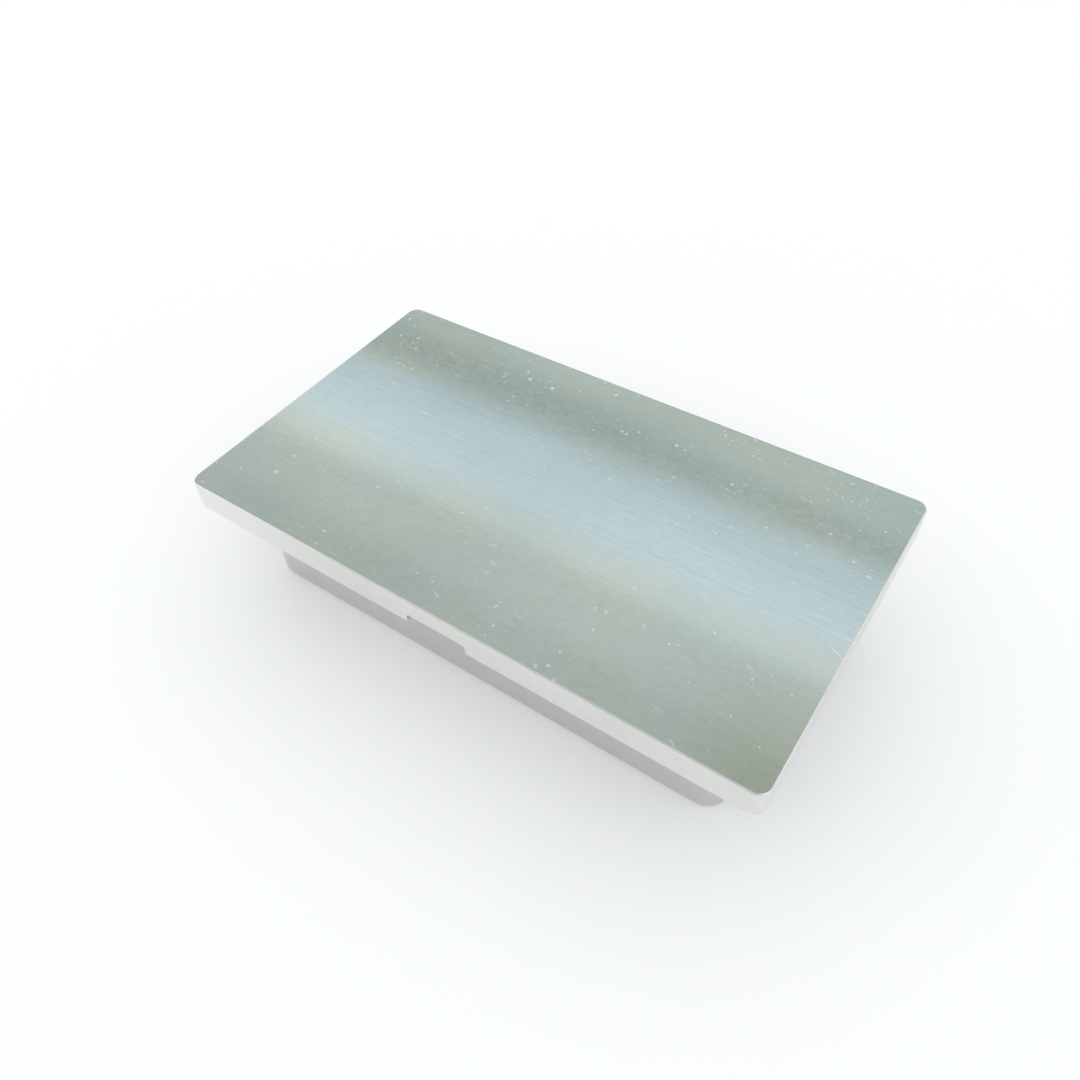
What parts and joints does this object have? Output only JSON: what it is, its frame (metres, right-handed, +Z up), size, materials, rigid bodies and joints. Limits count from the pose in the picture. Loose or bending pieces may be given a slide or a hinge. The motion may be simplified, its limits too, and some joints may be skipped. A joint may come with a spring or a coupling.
{
  "type": "business card case",
  "caption": "Hinged aluminium business card case: a thick overhanging lid plate with a finger notch over a smaller rounded body with a felt-lined card pocket.",
  "frame": {"origin": "centre of the object's footprint on the plane that it rests on", "axes": "+X along the long side, +Y towards the hinge, -Y the front with the finger notch, +Z up"},
  "size_m": [0.127, 0.072, 0.0283],
  "materials": {
    "lid": "fine milled, bare, lightly marked",
    "body": "satin, bare",
    "base_plate": "satin, bare",
    "steel": "brushed",
    "magnet": "nickel plated",
    "felt": "pressed wool felt",
    "bumper": "translucent silicone",
    "base_pad": "matt, finely textured"
  },
  "bodies": {
    "case": {"case_body": "body", "base_plate": "base_plate", "base_screws": "steel", "base_pad": "base_pad", "floor_lining": "felt", "body_magnets": "magnet", "rim_bumpers": "bumper", "hinge_leaf_body": "steel", "hinge_screws_body": "steel", "hinge_pin": "steel"},
    "lid": {"lid_plate": "lid", "lid_lining": "felt", "lid_magnets": "magnet", "hinge_leaf_lid": "steel", "hinge_screws_lid": "steel"}
  },
  "joints": [
    {"name": "lid_hinge", "type": "hinge", "parent": "case", "child": "lid", "pos_m": [0, 0.03105, 0.0205], "axis": [-1, 0, 0], "range_deg": [0, 112]}
  ]
}
